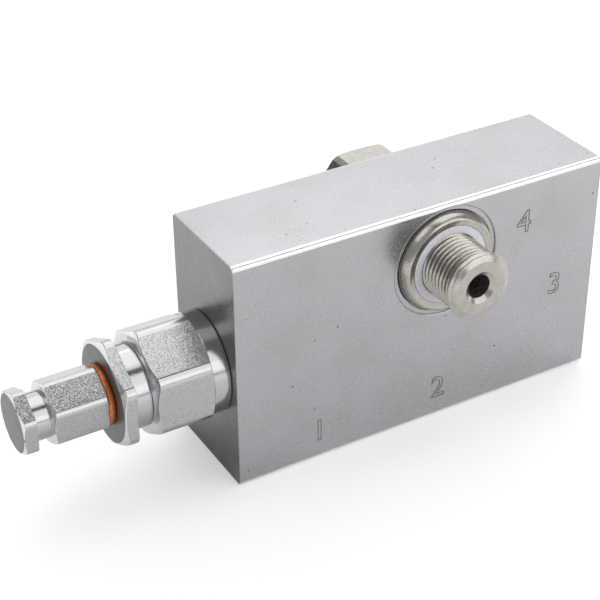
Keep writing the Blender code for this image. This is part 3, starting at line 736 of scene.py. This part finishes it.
# %% Stamp the port numbers
def stamped(figure, along, height):
    """Outline of a figure as a thin tube on the block's front face."""
    text_height, groove_radius = 8.4, 0.17
    text = bpy.data.curves.new("figure", "FONT")
    text.body = figure
    text.size = text_height * MM
    text.align_x = "CENTER"
    text.align_y = "CENTER"
    text.fill_mode = "NONE"
    text.bevel_depth = groove_radius * MM
    text.bevel_resolution = 1
    text.resolution_u = 5
    drawn = bpy.data.objects.new("figure", text)
    bpy.context.scene.collection.objects.link(drawn)
    seen = drawn.evaluated_get(bpy.context.evaluated_depsgraph_get())
    outline = bpy.data.meshes.new_from_object(seen)
    bpy.data.objects.remove(drawn)
    bm = bmesh.new()
    bm.from_mesh(outline)
    bmesh.ops.remove_doubles(bm, verts=bm.verts, dist=0.001 * MM)
    bmesh.ops.rotate(bm, verts=bm.verts, cent=(0, 0, 0), matrix=Matrix.Rotation(pi / 2, 3, "X"))
    place = Vector((block_low.x + along * MM, block_low.y, block_low.z + height * MM))
    bmesh.ops.translate(bm, verts=bm.verts, vec=place)
    bmesh.ops.recalc_face_normals(bm, faces=bm.faces)
    return as_object("stamp_" + figure, bm)


stamps = [
    stamped("1", 21.3, 7.9), stamped("2", 54.8, 8.2),
    stamped("3", 88.6, 27.2), stamped("4", 77.8, 47.6),
]
print("figures stamped:", len(stamps))

# %% [markdown]
# The Boolean cuts the figures first, then the bores and the ports. The faces of the block are
# then sorted by how deep they lie below its box: the sawn ends lie in it, the grooves are just
# under the front face, and a rolled edge is close to two sides at once.

# %% Cut and finish the block
carved(block, stamps, overlap=True)
carved(block, [main_bore, bolt_hole, valve_port, gauge_port, pilot_port])
block.modifiers.new("weighted normals", "WEIGHTED_NORMAL").keep_sharp = True
dress(block, "block", "valve_body", "zinc_block", block_zinc, sawn_zinc_painted_shade, groove_zinc_painted_shade, rolled_zinc_painted_highlight)
# The sawn ends and the grooves get painted shade, and the rolled edges a painted highlight.
sawn_end, groove, rolled_edge = 1, 2, 3
groove_depth = 0.3
for face in block.data.polygons:
    sides = zip(face.center, block_low, block_high)
    depth = [min(place - low, high - place) / MM for place, low, high in sides]
    off_bolt = hypot(face.center.x - bolt_origin.x, face.center.z - bolt_origin.z) / MM
    under_front = 0.01 < (face.center.y - block_low.y) / MM < groove_depth
    stamped_part = under_front and off_bolt > spot_rim + 0.85 and depth[2] > 2
    if abs(face.normal.x) > 0.99 and depth[0] < 0.01:
        face.material_index = sawn_end
    elif stamped_part and abs(face.normal.y) < 0.99 and (face.center.x - block_low.x) / MM > 1:
        face.material_index = groove
    elif max(depth[1], depth[2]) < rolled_radius:
        face.material_index = rolled_edge
print("block faces sorted")

# %% [markdown]
# ## Adjuster
#
# The spring housing, the lock nut and the cap were each turned first, which cut the ends and
# collars, and the flats are what is left of the hexagon bar. Here the bar is turned round and
# the flats are cut after, which leaves the same curved lines where a flat meets a chamfer.


# %% Sort flats and faced ends from turned faces
def flats_apart(thing, flats, left_end=None):
    """Give the drawn flats, a faced end on the left and the chamfers their finishes."""
    drawn, faced, bright = 1, 2, 3
    count = 0
    for face in thing.data.polygons:
        away = (face.center - adjuster_origin) / MM
        off_axis = away.y * face.normal.y + away.z * face.normal.z
        if abs(face.normal.x) < 0.02 and abs(off_axis - flats / 2) < 0.02:
            face.material_index = drawn
            count += 1
        # Chamfers get the painted highlight, and a faced end on the left gets the painted shade.
        elif abs(face.normal.x) > 0.3:
            at_end = left_end is not None and away.x < left_end + 0.05
            face.material_index = faced if at_end else bright
    print(thing.name, count, "faces on drawn flats")


# %% Turn the spring housing
large_hexagon, small_hexagon = 24.0, 14.0
large_bar, small_bar = 13.42, 7.87
bar_finishes = (turned_zinc, flat_zinc, faced_zinc_painted_shade, rolled_zinc_painted_highlight)
bm = turned([
    (-18.35, 5.3), (-18.35, 11.4), (-17.2, large_bar), (-4.8, large_bar), (-4.15, 12.3),
    (-0.25, 12.3), (-0.05, 12.1), (-0.05, 9.3), (2.4, 9.3), (3.1, 10.0), (10.3, 10.0),
    (10.7, 9.6), (10.7, 7.6), (-14.0, 7.6), (-14.0, 5.3),
], 120, True)
on_adjuster_axis(bm)
housing = as_object("housing_turned", bm)
carved(housing, [hexagon_cutter(on_adjuster_axis, large_hexagon, -19.4, -4.1, 91.5, 3.0)])
dress(housing, "block", "spring_housing", "zinc_turned", *bar_finishes)
flats_apart(housing, large_hexagon)
softened(housing, 0.12)

# %% Turn the lock nut
nut_end = -26.0
bm = turned([
    (nut_end, 5.3), (nut_end, 11.6), (-25.2, large_bar), (-22.95, large_bar), (-22.95, 10.0),
    (-18.6, 10.0), (-18.4, 9.8), (-18.4, 7.3), (-20.9, 7.3), (-20.9, 5.3),
], 120, True)
on_adjuster_axis(bm)
nut = as_object("nut_turned", bm)
carved(nut, [hexagon_cutter(on_adjuster_axis, large_hexagon, -27.0, -22.9, 92.0, 3.0)])
dress(nut, "nut", "lock_nut", "zinc_turned", *bar_finishes)
flats_apart(nut, large_hexagon, nut_end)
softened(nut, 0.12)

# %% Turn the cap
cap_end = -47.5
bm = turned([
    (cap_end, 0), (cap_end, 6.8), (-47.0, small_bar), (-44.3, small_bar), (-44.3, 5.5),
    (-40.4, 5.5), (-40.4, 6.8), (-39.8, small_bar), (-27.9, small_bar), (-27.65, 7.37),
    (-27.65, 5.3), (-38.0, 5.3), (-41.0, 0),
], 96)
on_adjuster_axis(bm)
cap = as_object("cap_turned", bm)
carved(cap, [
    hexagon_cutter(on_adjuster_axis, small_hexagon, -41.4, -26.9, 94.5, 1.6),
    hexagon_cutter(on_adjuster_axis, small_hexagon, -48.5, -43.3, 94.5, 1.6),
])
dress(cap, "cap", "cap_nut", "zinc_turned", *bar_finishes)
flats_apart(cap, small_hexagon, cap_end)
softened(cap, 0.1)

# %% [markdown]
# The copper washer is soft and has been squeezed between the cap and the nut, so its rim is
# round. The adjusting screw under the cap is a set screw with a hexagon socket. Its thread has
# a pitch of 1 mm, and the ceiling chamfers both ends.

# %% Turn the copper washer
bm = turned([
    (-26.05, 5.5), (-26.05, 6.9), (-26.15, 7.15), (-26.4, 7.3), (-27.25, 7.3), (-27.5, 7.15),
    (-27.6, 6.9), (-27.6, 5.5),
], 96, True)
on_adjuster_axis(bm)
washer = as_object("copper_turned", bm, 50)
dress(washer, "cap_washer", "copper_washer", "copper", copper)

# %% Thread the adjusting screw
screw_left, screw_right = -34.5, -12.5
screw_crest, screw_root, screw_pitch = 5.0, 4.4, 1.0
bm = threaded(
    screw_left, screw_right, screw_crest, screw_root, screw_pitch, lambda s: 0.0,
    lambda s: min(screw_crest, screw_root + s - screw_left, screw_root - s + screw_right),
)
carry_on(bm, screw_left, [(screw_left, 0)])
carry_on(bm, screw_right, [(screw_right, 0)])
bmesh.ops.recalc_face_normals(bm, faces=bm.faces)
on_adjuster_axis(bm)
screw = as_object("screw_threaded", bm)
socket_radius = 2.5 / cos(pi / 6)
bm = turned([(-35.5, 0), (-35.5, socket_radius), (-28.5, socket_radius), (-27.5, 0)], 6)
on_adjuster_axis(bm)
carved(screw, [as_object("socket", bm)], 35)
dress(screw, "screw", "adjusting_screw", "hard_steel", ground_steel)

# %% [markdown]
# ## Hollow bolt and its rings
#
# The bolt carries the valve and the oil. Its thread runs out where the shank goes through the
# seal. It is a little thinner than its tip for most of its length, so after the threading every
# point behind the tip moves inward. The bore, its countersink, the shank and the head's bar are
# extruded from the thread's two ends.

# %% Thread the bolt
bolt_tip, thread_end = -13.9, 4.2
bolt_pitch = 1.337
crest = 8.33
root = crest - 0.64 * bolt_pitch
bm = threaded(
    bolt_tip, thread_end, crest, root, bolt_pitch,
    lambda s: min(crest, root + (s - 2.8) * (crest - root) / 1.2),
    lambda s: crest,
    96,
)
thinned, thinning_start, thinning_length = 0.45, -12.2, 1.5
for point in bm.verts:
    behind_tip = (point.co.x / MM - thinning_start) / thinning_length
    inward = thinned * min(1.0, max(0.0, behind_tip))
    radius = hypot(point.co.y, point.co.z) / MM
    point.co.y *= (radius - inward) / radius
    point.co.z *= (radius - inward) / radius
bore, shank, neck = 2.95, 8.33, 6.4
carry_on(bm, bolt_tip, [
    (bolt_tip, 6.0), (bolt_tip, 4.2), (bolt_tip, 4.1), (-13.1, bore), (17.1, bore), (18.87, 0),
])
carry_on(bm, thread_end, [
    (4.7, shank), (7.0, shank), (8.93, neck), (20.07, neck), (22.0, shank), (31.1, shank),
    (31.1, large_bar), (38.7, large_bar), (39.2, 12.3), (39.2, 0),
])
bmesh.ops.recalc_face_normals(bm, faces=bm.faces)
on_bolt_axis(bm)
bolt = as_object("bolt_threaded", bm, 25)

# %% [markdown]
# Three kinds of cut finish the bolt: the flats of its head, the chamfer round its tip, and the
# two cross holes that lead the oil from the groove round the shank to the bore. Each hole has
# its facets turned by its own angle. Otherwise the edges of one would run exactly through the
# edges of the other, and the Boolean could leave stray faces there.

# %% Cut the bolt
cutters = [hexagon_cutter(on_bolt_axis, large_hexagon, 30.95, 40.2, 0.0, 1.5)]
bm = turned([(-14.4, 5.65), (-12.85, 8.59), (-12.85, 9.6), (-14.4, 9.6)], 96, True)
on_bolt_axis(bm)
cutters.append(as_object("tip_chamfer", bm))
hole_radius, hole_reach = 2.2, 9.3
for angle, first_side in ((0, 3.0), (pi / 2, 7.0)):
    bm = turned([
        (-hole_reach, 0), (-hole_reach, hole_radius), (hole_reach, hole_radius), (hole_reach, 0),
    ], 32, False, first_side)
    turn = Matrix.Rotation(angle, 3, "Y")
    bmesh.ops.rotate(bm, verts=bm.verts, cent=(0, 0, 0), matrix=turn)
    hole_place = bolt_origin + Vector((0, block_size.y / 2 * MM, 0))
    bmesh.ops.translate(bm, verts=bm.verts, vec=hole_place)
    cutters.append(as_object("cross_hole", bm))
carved(bolt, cutters, 25)
dress(bolt, "block", "hollow_bolt", "nickel", nickel)

# %% [markdown]
# The steel ring and the white seal sit in the spot face and seal against the cylinder that the
# valve is bolted to. The ring's face has a low bead near its rim, and its side is domed.

# %% Turn the ring and the seal
ring_hole = 9.95
bm = turned([
    (-1.9, ring_hole), (-2.0, 10.1), (-2.0, 10.9), (-2.12, 11.2), (-2.14, 11.45),
    (-1.97, 11.78), (-1.6, 12.07), (-1.0, 12.42), (-0.3, 12.7), (0.4, 12.87), (0.85, 12.95),
    (0.97, 12.8), (0.97, ring_hole),
], 128, True)
on_bolt_axis(bm)
ring = as_object("ring_turned", bm)
softened(ring, 0.08)
dress(ring, "block", "front_ring", "nickel", nickel)

seal_rim = 9.93
bm = turned([
    (-1.93, 8.1), (-1.93, seal_rim), (0.7, seal_rim), (0.7, 8.4), (-0.6, 8.4), (-0.6, 7.95),
    (-1.8, 7.95),
], 128, True)
on_bolt_axis(bm)
seal = as_object("seal_moulded", bm)
softened(seal, 0.06)
dress(seal, "block", "front_seal", "white_seal", white_plastic)

# %% Turn the washer under the head
bm = turned([(29.3, 10.2), (29.3, 13.2), (30.8, 13.2), (30.8, 10.2)], 128, True)
on_bolt_axis(bm)
rear_ring = as_object("rear_ring_turned", bm)
softened(rear_ring, 0.15, 3)
dress(rear_ring, "block", "rear_washer", "zinc_turned", turned_zinc)

# %% [markdown]
# ## Pieces inside
#
# The guide, the poppet, the floating seat, the springs and the seals show only through the
# ports and when the valve is taken apart. Their solids already have the right shape, so they
# stay and get their finishes.

# %% Finish the solids that stay
inner_finishes = {
    "upper_spring_plate": ground_steel,
    "lower_spring_plate": ground_steel,
    "poppet_guide": ground_steel,
    "relief_poppet": ground_steel,
    "check_sleeve": ground_steel,
    "main_spring": spring_wire,
    "check_spring": spring_wire,
    "sleeve_backup_ring": white_plastic,
    "rear_seal": black_rubber,
    "housing_o_ring": black_rubber,
    "screw_seal": black_rubber,
    "guide_o_ring": black_rubber,
    "stem_seal": black_rubber,
    "pilot_seal": black_rubber,
    "sleeve_o_ring": black_rubber,
}
for node, finish in inner_finishes.items():
    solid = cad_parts[node]
    solid.data.materials.clear()
    solid.data.materials.append(finish.material)
print("solids finished:", len(inner_finishes))
